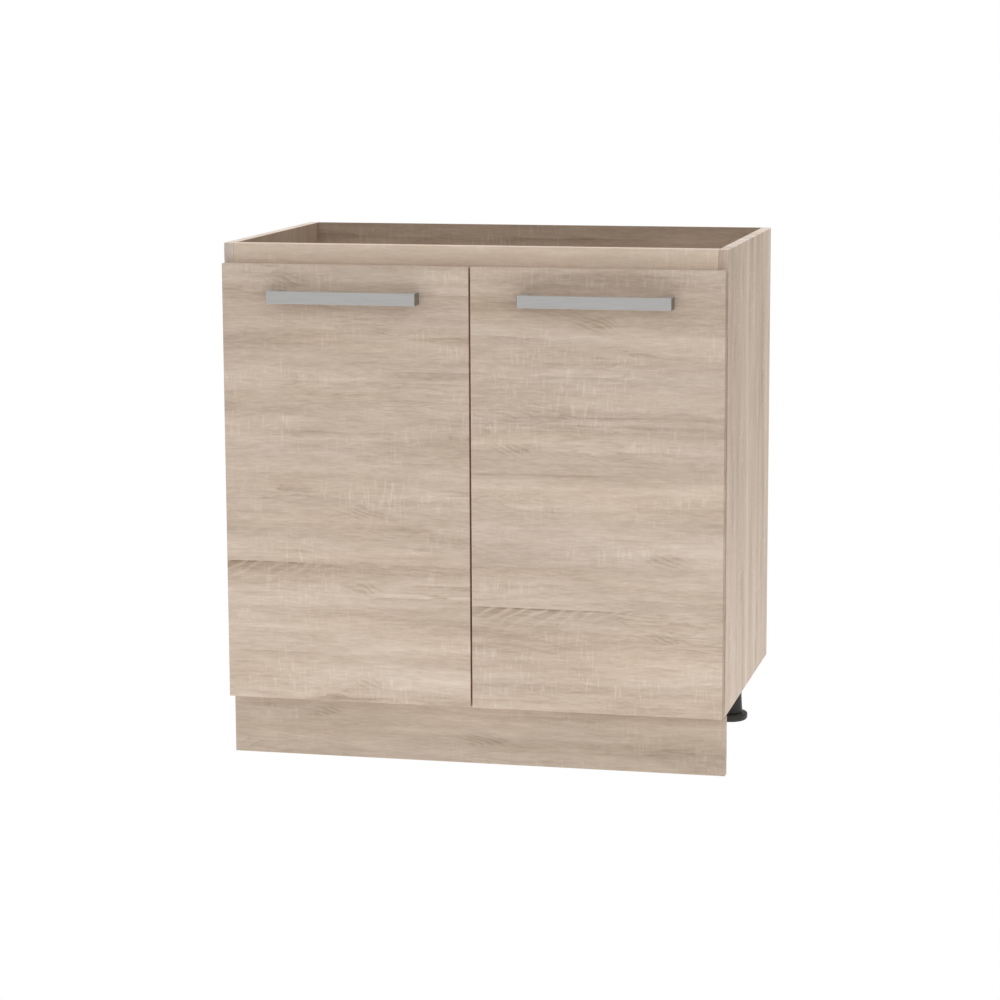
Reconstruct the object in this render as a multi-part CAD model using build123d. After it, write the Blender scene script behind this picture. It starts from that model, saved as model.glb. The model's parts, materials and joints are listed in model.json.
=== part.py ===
from build123d import *
from math import ceil
import os

# Kitchen base cabinet with two overlay doors on concealed hinges, open at the top for a worktop.
# Millimetres. X runs to the right, Y to the back, Z up.
# The origin is on the floor, in the middle of the overall footprint. The doors face -Y.

# Carcass
cabinet_width = 800.0
carcass_height = 725.0
side_depth = 467.0
board = 16.0
back_thickness = 3.0
back_inset = 2.0
rail_height = 70.0
top_strip = 31.0
edge_rounding = 0.8
rear_rail_drop = 45.0

# Doors
door_thickness = 16.0
door_gap = 3.0
door_reveal = 1.5
door_stand_off = 2.0
bumper_radius = 4.5
bumper_inset = 12.0
bumper_clearance = 0.1

# Bow handles
handle_length = 240.0
handle_height = 19.0
handle_projection = 26.0
handle_bar = 8.0
handle_foot = 16.0
handle_drop = 50.0
handle_rounding = 2.0
handle_edge_rounding = 0.5
handle_screw_radius = 2.0
handle_screw_bite = 10.0
handle_head_radius = 4.0
handle_head_height = 2.4

# Shelf and its pins
shelf_rise = 340.0
shelf_setback = 25.0
shelf_side_clearance = 2.0
shelf_back_clearance = 2.0
system_radius = 2.5
system_depth = 11.0
system_column = 37.0
system_pitch = 32.0
system_rows = 5
pin_bite = 10.0
pin_reach = 8.0
pin_collar_radius = 4.0
pin_collar = 1.5

# Cam locks, their bolts, and dowels
cam_radius = 7.5
cam_depth = 12.5
cam_setback = 24.0
cam_driver_length = 8.0
cam_driver_width = 1.2
cam_driver_depth = 2.0
bolt_thread_radius = 2.5
bolt_thread = 11.0
bolt_shank_radius = 3.0
bolt_neck_radius = 1.8
bolt_neck = 3.5
bolt_head_radius = 2.8
bolt_head = 3.0
bolt_head_room = 0.4
dowel_radius = 4.0
dowel_in_side = 10.0
dowel_in_board = 20.0
bottom_cam_front = 130.0
bottom_cam_back = 150.0
bottom_dowel_inset = 30.0
rail_cam_offset = 14.0
rail_dowel_offset = 18.0

# Nails of the back panel
nail_radius = 0.8
nail_length = 18.0
nail_head_radius = 1.6
nail_head = 0.8
nail_end_inset = 25.0
nail_spacing = 150.0

# Legs
leg_height = 97.0
leg_side_inset = 50.0
front_leg_setback = 70.0
rear_leg_setback = 77.0
socket_radius = 35.0
socket_plate = 4.0
collar_radius = 22.0
collar_height = 20.0
leg_radius = 19.0
leg_flare_radius = 20.5
leg_flare_height = 27.0
leg_spigot_radius = 15.0
leg_spigot_gap = 0.5
leg_top_wall = 3.0
foot_radius = 29.0
foot_height = 13.0
foot_top_rounding = 3.0
foot_bottom_rounding = 6.0
foot_gap = 0.6
spindle_radius = 10.0
spindle_length = 55.0
spindle_clearance = 0.3
leg_screw_ring = 27.0
leg_screws_each = 4

# Plinth and its clips
plinth_width = 798.0
plinth_gap = 3.0
plinth_setback = 10.0
clip_rise = 58.0
clip_plate_width = 44.0
clip_plate_height = 30.0
clip_plate = 3.0
clip_ring = 3.0
clip_ring_height = 14.0
clip_neck_width = 18.0
clip_grip = 8.0
clip_clearance = 0.2
clip_screw_spread = 32.0

# Worktop brackets
bracket_spread = 500.0
bracket_width = 20.0
bracket_leg = 25.0
bracket_sheet = 2.0
bracket_drop = 6.0
bracket_hole_radius = 2.5
bracket_hole_reach = 15.0
bracket_screw_drop = 15.0

# Small chipboard screws of the legs, clips, brackets and hinge cups
wood_screw_radius = 1.75
wood_screw_bite = 11.0
wood_screw_head_radius = 3.4
wood_screw_head = 1.2

# Concealed hinges. U runs inwards from the door's outer edge, V forwards from the carcass front.
hinge_end_distance = 100.0
cup_radius = 17.5
cup_edge_distance = 4.0
cup_depth = 11.5
cup_wall = 1.0
cup_flange = 0.8
cup_rim = 1.1
cup_wing_half = 32.0
cup_wing_back = 12.0
cup_wing_width = 24.0
cup_screw_half = 24.0
cup_screw_offset = 6.0
cup_lug_start = 5.2
cup_lug_end = 8.2
cup_lug_half_width = 3.5
cup_lug_over = 2.4
cup_seat_clearance = 0.1
arm_pivot_u = 29.0
arm_pivot_v = 0.0
cup_pivot_u = 11.5
cup_pivot_v = 6.0
lever_bend_u = 21.0
lever_bend_v = 10.6
lever_half_thickness = 1.0
lever_eye_radius = 2.4
lever_inner = 3.0
lever_outer = 4.8
lever_bridge_radius = 1.0
pivot_radius = 1.25
pivot_clearance = 0.08
arm_channel_half = 5.0
arm_sheet = 1.5
arm_length = 62.0
arm_shoulder = 4.0
arm_tip_radius = 3.2
arm_web_face = 18.0
arm_panel_gap = 4.0
plate_base = 3.0
plate_end_margin = 10.0
plate_base_width = 20.0
plate_block_half = 4.8
plate_block_front = 16.0
plate_block_back = 60.0
plate_screw_head_radius = 4.5
plate_screw_head = 1.6
plate_screw_bite = 10.0
fixing_screw_back = 50.0
side_screw_back = 24.0
arm_screw_radius = 2.0
arm_screw_bite = 9.0
arm_screw_head_radius = 4.0
arm_screw_head = 2.0

# Radial play of every fixed pin, screw, nail and dowel in its hole, and the room left at a hole's end
fit = 0.05
hole_end = 0.5

# Places worked out from the sizes
half_width = cabinet_width / 2
inner_x = half_width - board
overall_depth = handle_projection + door_thickness + door_stand_off + side_depth + back_thickness
carcass_front = -overall_depth / 2 + handle_projection + door_thickness + door_stand_off
carcass_back = carcass_front + side_depth
carcass_bottom = leg_height
carcass_top = carcass_bottom + carcass_height
bottom_top = carcass_bottom + board
door_back = carcass_front - door_stand_off
door_front = door_back - door_thickness
door_bottom = carcass_bottom
door_top = carcass_top - top_strip
door_width = half_width - door_reveal - door_gap / 2
rear_rail_top = carcass_top - rear_rail_drop
front_rail_mid = carcass_top - rail_height / 2
rear_rail_mid = rear_rail_top - rail_height / 2
bottom_mid = carcass_bottom + board / 2
shelf_pin_z = bottom_top + shelf_rise
shelf_bottom = shelf_pin_z + system_radius + fit
columns = (carcass_front + system_column, carcass_back - system_column)
hinge_heights = {"upper": door_top - hinge_end_distance, "lower": door_bottom + hinge_end_distance}
handle_z = door_top - handle_drop
plinth_front = carcass_front + plinth_setback
plinth_back = plinth_front + board
leg_places = {
    "front_left": (-(half_width - leg_side_inset), carcass_front + front_leg_setback),
    "front_right": (half_width - leg_side_inset, carcass_front + front_leg_setback),
    "rear_left": (-(half_width - leg_side_inset), carcass_back - rear_leg_setback),
    "rear_right": (half_width - leg_side_inset, carcass_back - rear_leg_setback),
}
panel_u = board - door_reveal
cup_u = cup_edge_distance + cup_radius
cup_screw_u = cup_u + cup_screw_offset
cup_floor_v = door_stand_off + cup_depth
arm_web_u = panel_u + arm_web_face
sides = {"left": -1, "right": 1}
nodes = {}


def block(x, y, z):
    """Box between two places on each axis, given in either order."""
    spans = [(min(pair), max(pair)) for pair in (x, y, z)]
    centre = [(low + high) / 2 for low, high in spans]
    return Pos(*centre) * Box(*[high - low for low, high in spans])


standing = (Align.CENTER, Align.CENTER, Align.MIN)


def rod(radius, start, end):
    """Round bar of one radius from one point to another."""
    start = Vector(*start)
    way = Vector(*end) - start
    bar = Cylinder(radius, way.length, align=standing)
    return Plane(origin=start, z_dir=way) * bar


def eased(slab, along=None):
    """Slab with slightly rounded edges, as banded boards have: all of them, or those along one axis."""
    edges = slab.edges().filter_by(along) if along else slab.edges()
    return fillet(edges, edge_rounding)


def group(solids):
    """Separate solids kept together as one piece list."""
    return Compound(children=[solid for solid in solids])


# Cam joints. A bolt runs along X from a side panel into a board's end.
# A cam lock in the board holds the bolt's head.

def cam_centre(side, y, z):
    return Vector(side * (inner_x - cam_setback), y, z)


def cam_bolt(side, y, z):
    """Threaded end in the side panel, shank, neck, and the head inside the cam."""
    x_cam = side * (inner_x - cam_setback)
    x_face = side * inner_x
    x_shank_end = x_cam + side * (bolt_head / 2 + bolt_neck)
    bolt = rod(bolt_thread_radius, (x_face + side * bolt_thread, y, z), (x_face, y, z))
    bolt += rod(bolt_shank_radius, (x_face, y, z), (x_shank_end, y, z))
    bolt += rod(bolt_neck_radius, (x_shank_end, y, z), (x_cam, y, z))
    bolt += rod(bolt_head_radius, (x_cam + side * bolt_head / 2, y, z), (x_cam - side * bolt_head / 2, y, z))
    return bolt


def cam_lock(side, y, z, inward):
    """Short drum, open on one side for the bolt's head, with a cross for the screwdriver."""
    centre = cam_centre(side, y, z)
    face = centre - inward * (board / 2)
    drum = rod(cam_radius, face, face + inward * cam_depth)
    tunnel_end = centre + Vector(side * (cam_radius + bolt_head), 0, 0)
    tunnel_start = centre - Vector(side * (bolt_head / 2 + bolt_head_room), 0, 0)
    drum -= rod(bolt_shank_radius + bolt_head_room, tunnel_start, tunnel_end)
    driver = Plane(origin=face, z_dir=inward)
    drum -= driver * Box(cam_driver_length, cam_driver_width, 2 * cam_driver_depth)
    drum -= driver * Box(cam_driver_width, cam_driver_length, 2 * cam_driver_depth)
    return drum


def cam_board_cuts(side, y, z, inward):
    """Cam pocket and bolt bore in the board."""
    centre = cam_centre(side, y, z)
    face = centre - inward * (board / 2)
    pocket = rod(cam_radius + fit, face, face + inward * (cam_depth + hole_end))
    bore = rod(bolt_shank_radius + fit, (side * inner_x, y, z), centre)
    return [pocket, bore]


def cam_side_cut(side, y, z):
    """Hole for the bolt's thread in the side panel."""
    x_end = side * (inner_x + bolt_thread + hole_end)
    return rod(bolt_thread_radius + fit, (side * inner_x, y, z), (x_end, y, z))


def dowel(side, y, z):
    start = (side * (inner_x + dowel_in_side), y, z)
    end = (side * (inner_x - dowel_in_board), y, z)
    return rod(dowel_radius, start, end)


def dowel_cut(side, y, z):
    """Dowel hole, drilled into the side panel and the board alike."""
    start = (side * (inner_x + dowel_in_side + hole_end), y, z)
    end = (side * (inner_x - dowel_in_board - hole_end), y, z)
    return rod(dowel_radius + fit, start, end)


up = Vector(0, 0, 1)
forward = Vector(0, -1, 0)
backward = Vector(0, 1, 0)
front_rail_y = carcass_front + board / 2
rear_rail_y = carcass_back - board / 2
cam_places = {
    "bottom_panel": [
        (carcass_front + bottom_cam_front, bottom_mid, up),
        (carcass_back - bottom_cam_back, bottom_mid, up),
    ],
    "front_rail": [(front_rail_y, front_rail_mid - rail_cam_offset, forward)],
    "rear_rail": [(rear_rail_y, rear_rail_mid - rail_cam_offset, backward)],
}
dowel_places = {
    "bottom_panel": [
        (carcass_front + bottom_dowel_inset, bottom_mid),
        (carcass_back - bottom_dowel_inset, bottom_mid),
    ],
    "front_rail": [(front_rail_y, front_rail_mid + rail_dowel_offset)],
    "rear_rail": [(rear_rail_y, rear_rail_mid + rail_dowel_offset)],
}
all_cams = [place for places in cam_places.values() for place in places]
all_dowels = [place for places in dowel_places.values() for place in places]


def joint_cuts(name):
    """Every cam pocket, bolt bore and dowel hole of one board, at both ends."""
    cuts = []
    for side in sides.values():
        for y, z, inward in cam_places[name]:
            cuts += cam_board_cuts(side, y, z, inward)
        cuts += [dowel_cut(side, y, z) for y, z in dowel_places[name]]
    return cuts


# Small chipboard screws: a start point under the head and the way the screw points.

def wood_screw(seat, way):
    seat = Vector(*seat)
    screw = rod(wood_screw_head_radius, seat - way * wood_screw_head, seat)
    return screw + rod(wood_screw_radius, seat, seat + way * wood_screw_bite)


def wood_screw_cut(seat, way, start=0.0):
    """Hole for the shank, from a place along the screw to just past its point."""
    seat = Vector(*seat)
    return rod(wood_screw_radius + fit, seat + way * start, seat + way * (wood_screw_bite + hole_end))


# Back panel nails

def nail_row(first, last):
    """Even places from first to last, no further apart than the nails' spacing."""
    gaps = ceil((last - first) / nail_spacing)
    step = (last - first) / gaps
    return [first + step * index for index in range(gaps + 1)]


def nail_places():
    """X and Z of each nail: up both sides, along the bottom and along the rear rail."""
    places = []
    side_x = half_width - board / 2
    side_z = nail_row(carcass_bottom + nail_end_inset, rear_rail_top - rail_height - nail_end_inset)
    for side in sides.values():
        places += [(side * side_x, z) for z in side_z]
    bottom_end = inner_x - nail_end_inset
    places += [(x, bottom_mid) for x in nail_row(-bottom_end, bottom_end)]
    rail_end = inner_x - cam_setback - cam_radius - nail_end_inset
    places += [(x, rear_rail_mid) for x in nail_row(-rail_end, rail_end)]
    return places


panel_rear = carcass_back + back_thickness


def nail(x, z):
    shank = rod(nail_radius, (x, panel_rear, z), (x, panel_rear - nail_length, z))
    return shank + rod(nail_head_radius, (x, panel_rear, z), (x, panel_rear - nail_head, z))


def nail_cut(x, z):
    """Nail hole with a seat that lets the head lie flush."""
    shank = rod(nail_radius + fit, (x, panel_rear, z), (x, panel_rear - nail_length - hole_end, z))
    return shank + rod(nail_head_radius + fit, (x, panel_rear, z), (x, panel_rear - nail_head, z))


nail_cuts = [nail_cut(x, z) for x, z in nail_places()]


# Legs

def leg_screw_seats(x, y):
    """Screw places round one socket, under its plate."""
    ring = PolarLocations(leg_screw_ring, leg_screws_each, start_angle=180 / leg_screws_each)
    return [(x + spot.position.X, y + spot.position.Y, carcass_bottom - socket_plate) for spot in ring]


def leg_socket(x, y):
    """Round plate under the carcass, with a collar that takes the leg's spigot."""
    plate_bottom = carcass_bottom - socket_plate
    collar_bottom = plate_bottom - collar_height
    socket = rod(socket_radius, (x, y, plate_bottom), (x, y, carcass_bottom))
    socket += rod(collar_radius, (x, y, collar_bottom), (x, y, plate_bottom))
    socket -= rod(leg_spigot_radius + fit, (x, y, collar_bottom), (x, y, plate_bottom))
    return socket - [wood_screw_cut(seat, up) for seat in leg_screw_seats(x, y)]


def leg_tube(x, y):
    """Hollow leg: a spigot in the socket, a straight shank and a slight flare to the foot."""
    collar_bottom = carcass_bottom - socket_plate - collar_height
    tube_top = carcass_bottom - socket_plate - leg_spigot_gap
    tube_bottom = foot_height + foot_gap
    flare_top = tube_bottom + leg_flare_height
    bore_top = tube_top - leg_top_wall
    flare = Cone(leg_flare_radius, leg_radius, leg_flare_height, align=standing)
    tube = Pos(x, y, tube_bottom) * flare
    tube += rod(leg_radius, (x, y, flare_top), (x, y, collar_bottom))
    tube += rod(leg_spigot_radius, (x, y, collar_bottom), (x, y, tube_top))
    return tube - rod(spindle_radius + spindle_clearance, (x, y, tube_bottom), (x, y, bore_top))


def leveling_foot(x, y):
    """Broad rounded foot on the spindle that screws into the leg."""
    disc = rod(foot_radius, (x, y, 0), (x, y, foot_height))
    rims = disc.edges().filter_by(GeomType.CIRCLE).sort_by(Axis.Z)
    disc = fillet(rims[-1], foot_top_rounding)
    rims = disc.edges().filter_by(GeomType.CIRCLE).sort_by(Axis.Z)
    disc = fillet(rims[0], foot_bottom_rounding)
    return disc + rod(spindle_radius, (x, y, foot_height), (x, y, foot_height + spindle_length))


# Plinth clips

def clip_screw_seats(x):
    """Two screw places on a clip's plate."""
    y = plinth_back + clip_plate
    return [(x + offset, y, clip_rise) for offset in (-clip_screw_spread / 2, clip_screw_spread / 2)]


def plinth_clip(x, y):
    """Plate on the plinth's back with a neck and an open ring that snaps on a front leg."""
    half_plate = clip_plate_height / 2
    half_ring = clip_ring_height / 2
    plate_end = plinth_back + clip_plate
    inner = leg_radius + clip_clearance
    outer = inner + clip_ring
    low = clip_rise - half_ring
    high = clip_rise + half_ring
    clip = block((x - clip_neck_width / 2, x + clip_neck_width / 2), (plate_end, y), (low, high))
    clip += rod(outer, (x, y, low), (x, y, high))
    clip -= rod(inner, (x, y, low), (x, y, high))
    clip -= block((x - outer, x + outer), (y + clip_grip, y + outer), (low, high))
    clip += block(
        (x - clip_plate_width / 2, x + clip_plate_width / 2),
        (plinth_back, plate_end),
        (clip_rise - half_plate, clip_rise + half_plate),
    )
    return clip - [wood_screw_cut(seat, forward) for seat in clip_screw_seats(x)]


# Worktop brackets

bracket_face = carcass_front + board
bracket_top = carcass_top - bracket_drop
bracket_xs = (-bracket_spread / 2, bracket_spread / 2)


def bracket_screw_seat(x):
    return (x, bracket_face + bracket_sheet, bracket_top - bracket_screw_drop)


def worktop_bracket(x):
    """Bent steel angle behind the front rail, with a hole for the worktop screw."""
    across = (x - bracket_width / 2, x + bracket_width / 2)
    upright = (bracket_top - bracket_leg, bracket_top)
    bracket = block(across, (bracket_face, bracket_face + bracket_sheet), upright)
    level = (bracket_top - bracket_sheet, bracket_top)
    bracket += block(across, (bracket_face, bracket_face + bracket_leg), level)
    hole_y = bracket_face + bracket_hole_reach
    bracket -= rod(bracket_hole_radius, (x, hole_y, bracket_top - bracket_sheet), (x, hole_y, bracket_top))
    return bracket - wood_screw_cut(bracket_screw_seat(x), forward)


# Hinges. These helpers turn U and V into X and Y for either side.

def hinge_x(side, u):
    return side * (half_width - door_reveal - u)


def hinge_y(v):
    return carcass_front - v


def hinge_block(side, u, v, z):
    """Box between two places in U, V and Z."""
    return block([hinge_x(side, place) for place in u], [hinge_y(place) for place in v], z)


def across(radius, side, u, v, low, high):
    """Round bar along Z at one U and V."""
    x = hinge_x(side, u)
    y = hinge_y(v)
    return rod(radius, (x, y, low), (x, y, high))


def toward_door(radius, side, u, z, v_start, v_end):
    """Round bar along Y at one U and height."""
    x = hinge_x(side, u)
    return rod(radius, (x, hinge_y(v_start), z), (x, hinge_y(v_end), z))


def cup_screw_seats(side, z):
    """Seats of the two screws that hold a cup's wings to the door."""
    y = hinge_y(door_stand_off - cup_flange)
    return [(hinge_x(side, cup_screw_u), y, z + offset) for offset in (-cup_screw_half, cup_screw_half)]


def hinge_cup(side, z):
    """Thin pressed cup with a rim, wings for two screws, and lugs that carry the cup pivot."""
    mouth = door_stand_off
    wing_u = (cup_screw_u - cup_wing_back, cup_screw_u - cup_wing_back + cup_wing_width)
    cup = toward_door(cup_radius, side, cup_u, z, mouth, cup_floor_v)
    cup += toward_door(cup_radius + cup_rim, side, cup_u, z, mouth - cup_flange, mouth)
    cup += hinge_block(side, wing_u, (mouth - cup_flange, mouth), (z - cup_wing_half, z + cup_wing_half))
    cup -= toward_door(cup_radius - cup_wall, side, cup_u, z, mouth - cup_flange, cup_floor_v - cup_wall)
    lug_u = (cup_pivot_u - cup_lug_half_width, cup_pivot_u + cup_lug_half_width)
    lug_v = (cup_pivot_v - cup_lug_over, cup_floor_v - cup_wall)
    for way in (-1, 1):
        cup += hinge_block(side, lug_u, lug_v, (z + way * cup_lug_start, z + way * cup_lug_end))
    cup -= across(pivot_radius + fit, side, cup_pivot_u, cup_pivot_v, z - cup_lug_end, z + cup_lug_end)
    return cup - [wood_screw_cut(seat, forward) for seat in cup_screw_seats(side, z)]


def lever_bar(side, start, end, low, high):
    """Flat bar between two places in U and V."""
    a = Vector(hinge_x(side, start[0]), hinge_y(start[1]), (low + high) / 2)
    b = Vector(hinge_x(side, end[0]), hinge_y(end[1]), (low + high) / 2)
    frame = Plane(origin=(a + b) / 2, x_dir=b - a, z_dir=(0, 0, 1))
    return frame * Box((b - a).length, 2 * lever_half_thickness, high - low)


def hinge_lever(side, z):
    """Two bent cheeks joined by a bridge at the bend, with an eye at each pivot."""
    cup_eye = (cup_pivot_u, cup_pivot_v)
    bend = (lever_bend_u, lever_bend_v)
    arm_eye = (arm_pivot_u, arm_pivot_v)
    lever = across(lever_bridge_radius, side, *bend, z - lever_outer, z + lever_outer)
    for way in (-1, 1):
        low, high = sorted((z + way * lever_inner, z + way * lever_outer))
        for eye in (cup_eye, arm_eye):
            lever += lever_bar(side, eye, bend, low, high)
            lever += across(lever_eye_radius, side, *eye, low, high)
    for eye in (cup_eye, arm_eye):
        lever -= across(pivot_radius + pivot_clearance, side, *eye, z - lever_outer, z + lever_outer)
    return lever


def arm_pivot_pin(side, z):
    reach = arm_channel_half + arm_sheet
    return across(pivot_radius, side, arm_pivot_u, arm_pivot_v, z - reach, z + reach)


def cup_pivot_pin(side, z):
    return across(pivot_radius, side, cup_pivot_u, cup_pivot_v, z - cup_lug_end, z + cup_lug_end)


def hinge_arm(side, z):
    """Channel with its back to the cupboard, and two cheeks that carry the arm pivot."""
    outer = arm_channel_half + arm_sheet
    web = (arm_web_u, arm_web_u + arm_sheet)
    arm = hinge_block(side, web, (-arm_length, -arm_shoulder), (z - outer, z + outer))
    cheek_u = (panel_u + arm_panel_gap, arm_web_u + arm_sheet)
    tongue_u = (arm_pivot_u - arm_tip_radius, arm_pivot_u + arm_tip_radius)
    for way in (-1, 1):
        low, high = sorted((z + way * arm_channel_half, z + way * outer))
        arm += hinge_block(side, cheek_u, (-arm_length, -arm_shoulder), (low, high))
        arm += hinge_block(side, tongue_u, (-arm_shoulder, arm_pivot_v), (low, high))
        arm += across(arm_tip_radius, side, arm_pivot_u, arm_pivot_v, low, high)
    arm -= across(pivot_radius + fit, side, arm_pivot_u, arm_pivot_v, z - outer, z + outer)
    return arm - [arm_screw_cut(side, z, back) for back in (fixing_screw_back, side_screw_back)]


def arm_screw(side, z, back):
    """Screw through the arm's web into the mounting plate's block."""
    y = hinge_y(-back)
    seat = arm_web_u + arm_sheet
    under_head = (hinge_x(side, seat), y, z)
    head = rod(arm_screw_head_radius, under_head, (hinge_x(side, seat + arm_screw_head), y, z))
    return head + rod(arm_screw_radius, under_head, (hinge_x(side, seat - arm_screw_bite), y, z))


def arm_screw_cut(side, z, back):
    y = hinge_y(-back)
    seat = arm_web_u + arm_sheet
    deep = seat - arm_screw_bite - hole_end
    return rod(arm_screw_radius + fit, (hinge_x(side, seat), y, z), (hinge_x(side, deep), y, z))


def plate_screw_heights(z):
    return (z - system_pitch / 2, z + system_pitch / 2)


def mounting_plate(side, z):
    """Winged base on the side panel, with the block that the arm is screwed to."""
    base_u = (panel_u, panel_u + plate_base)
    middle = -system_column
    base_v = (middle - plate_base_width / 2, middle + plate_base_width / 2)
    half_height = system_pitch / 2 + plate_end_margin
    plate = hinge_block(side, base_u, base_v, (z - half_height, z + half_height))
    block_v = (-plate_block_back, -plate_block_front)
    block_z = (z - plate_block_half, z + plate_block_half)
    plate += hinge_block(side, (panel_u, arm_web_u), block_v, block_z)
    y = hinge_y(middle)
    for height in plate_screw_heights(z):
        plate -= plate_screw_shape(side, y, height, fit)
    return plate - [arm_screw_cut(side, z, back) for back in (fixing_screw_back, side_screw_back)]


def plate_screw_shape(side, y, z, play):
    """Screw in the system hole, with its head let into the plate. Play widens it into its own hole."""
    face = panel_u + plate_base
    head_start = face - plate_screw_head
    tip = panel_u - plate_screw_bite - (hole_end if play else 0)
    head = rod(plate_screw_head_radius + play, (hinge_x(side, face), y, z), (hinge_x(side, head_start), y, z))
    return head + rod(system_radius + play, (hinge_x(side, head_start), y, z), (hinge_x(side, tip), y, z))


# Handles

def handle_centre(side):
    return side * (door_gap / 2 + door_width / 2)


def handle_screw_xs(side):
    """Screw places at the middle of the handle's two feet."""
    half_spread = (handle_length - handle_foot) / 2
    return (handle_centre(side) - half_spread, handle_centre(side) + half_spread)


def handle_screw(x):
    """Machine screw from inside the door into a handle foot."""
    tip = door_front - handle_screw_bite
    screw = rod(handle_head_radius, (x, door_back, handle_z), (x, door_back + handle_head_height, handle_z))
    return screw + rod(handle_screw_radius, (x, door_back, handle_z), (x, tip, handle_z))


def handle_screw_cut(x):
    tip = door_front - handle_screw_bite - hole_end
    return rod(handle_screw_radius + fit, (x, door_back, handle_z), (x, tip, handle_z))


def bow_handle(side):
    """Flat bar held off the door by a square foot at each end."""
    centre = handle_centre(side)
    ends = (centre - handle_length / 2, centre + handle_length / 2)
    tall = (handle_z - handle_height / 2, handle_z + handle_height / 2)
    bow_front = door_front - handle_projection
    bow = block(ends, (bow_front, bow_front + handle_bar), tall)
    for end, inward in zip(ends, (1, -1)):
        bow += block((end, end + inward * handle_foot), (bow_front, door_front), tall)
    corners = bow.edges().filter_by(Axis.Z).group_by(Axis.Y)[0]
    bow = fillet(corners, handle_rounding)
    bow = fillet(bow.faces().sort_by(Axis.Y)[0].edges().filter_by(Axis.X), handle_edge_rounding)
    return bow - [handle_screw_cut(x) for x in handle_screw_xs(side)]


# Doors

def door_bumper_places(side):
    """Bumper places near the free edge: on the front rail above, on the bottom panel below."""
    x = side * (door_gap / 2 + bumper_inset)
    return [(x, door_top - bumper_inset), (x, bottom_mid)]


def door_bumper(x, z):
    return rod(bumper_radius, (x, door_back, z), (x, carcass_front - bumper_clearance, z))


def door(side):
    """Plain slab with hinge cup pockets, pilot holes and two handle holes."""
    across_x = (side * door_gap / 2, side * (door_gap / 2 + door_width))
    slab = block(across_x, (door_front, door_back), (door_bottom, door_top))
    cuts = [handle_screw_cut(x) for x in handle_screw_xs(side)]
    for z in hinge_heights.values():
        pocket_end = cup_floor_v + cup_seat_clearance
        cuts.append(toward_door(cup_radius + cup_seat_clearance, side, cup_u, z, door_stand_off, pocket_end))
        cuts += [wood_screw_cut(seat, forward, cup_flange) for seat in cup_screw_seats(side, z)]
    return eased(slab) - cuts


# Carcass boards

def shelf_pin_places(side):
    """Start of each shelf pin on the inner face of a side panel."""
    return [(side * inner_x, y, shelf_pin_z) for y in columns]


def shelf_pin(side, x, y, z):
    pin = rod(system_radius, (x + side * pin_bite, y, z), (x - side * pin_reach, y, z))
    return pin + rod(pin_collar_radius, (x, y, z), (x - side * pin_collar, y, z))


def system_cuts(side):
    """Rows of shelf pin holes round the shelf's height, and the holes of the hinge plate screws."""
    middle = (system_rows - 1) / 2
    heights = [shelf_pin_z + (row - middle) * system_pitch for row in range(system_rows)]
    spots = [(y, z) for y in columns for z in heights]
    spots += [(columns[0], z) for hinge in hinge_heights.values() for z in plate_screw_heights(hinge)]
    x = side * inner_x
    return [rod(system_radius + fit, (x, y, z), (x + side * system_depth, y, z)) for y, z in spots]


def side_panel(side):
    """Upright board with cam bolt, dowel, shelf pin and hinge plate holes."""
    upright = (carcass_bottom, carcass_top)
    panel = block((side * inner_x, side * half_width), (carcass_front, carcass_back), upright)
    cuts = system_cuts(side)
    cuts += [cam_side_cut(side, y, z) for y, z, inward in all_cams]
    cuts += [dowel_cut(side, y, z) for y, z in all_dowels]
    return eased(panel) - cuts - nail_cuts


def bottom_panel():
    panel = block((-inner_x, inner_x), (carcass_front, carcass_back), (carcass_bottom, bottom_top))
    cuts = joint_cuts("bottom_panel")
    for x, y in leg_places.values():
        cuts += [wood_screw_cut(seat, up, socket_plate) for seat in leg_screw_seats(x, y)]
    return eased(panel, Axis.X) - cuts - nail_cuts


def front_rail():
    upright = (carcass_top - rail_height, carcass_top)
    rail = block((-inner_x, inner_x), (carcass_front, carcass_front + board), upright)
    cuts = joint_cuts("front_rail")
    cuts += [wood_screw_cut(bracket_screw_seat(x), forward, bracket_sheet) for x in bracket_xs]
    return eased(rail, Axis.X) - cuts


def rear_rail():
    upright = (rear_rail_top - rail_height, rear_rail_top)
    rail = block((-inner_x, inner_x), (carcass_back - board, carcass_back), upright)
    return eased(rail, Axis.X) - joint_cuts("rear_rail") - nail_cuts


def back_panel():
    edge = half_width - back_inset
    panel = block((-edge, edge), (carcass_back, panel_rear), (carcass_bottom + back_inset, carcass_top))
    return panel - nail_cuts


def shelf():
    edge = inner_x - shelf_side_clearance
    deep = (carcass_front + shelf_setback, carcass_back - shelf_back_clearance)
    return eased(block((-edge, edge), deep, (shelf_bottom, shelf_bottom + board)))


def plinth_board():
    half = plinth_width / 2
    plinth = block((-half, half), (plinth_front, plinth_back), (0, carcass_bottom - plinth_gap))
    seats = [seat for name in ("front_left", "front_right") for seat in clip_screw_seats(leg_places[name][0])]
    return eased(plinth) - [wood_screw_cut(seat, forward, clip_plate) for seat in seats]


# The pieces, by name

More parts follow.
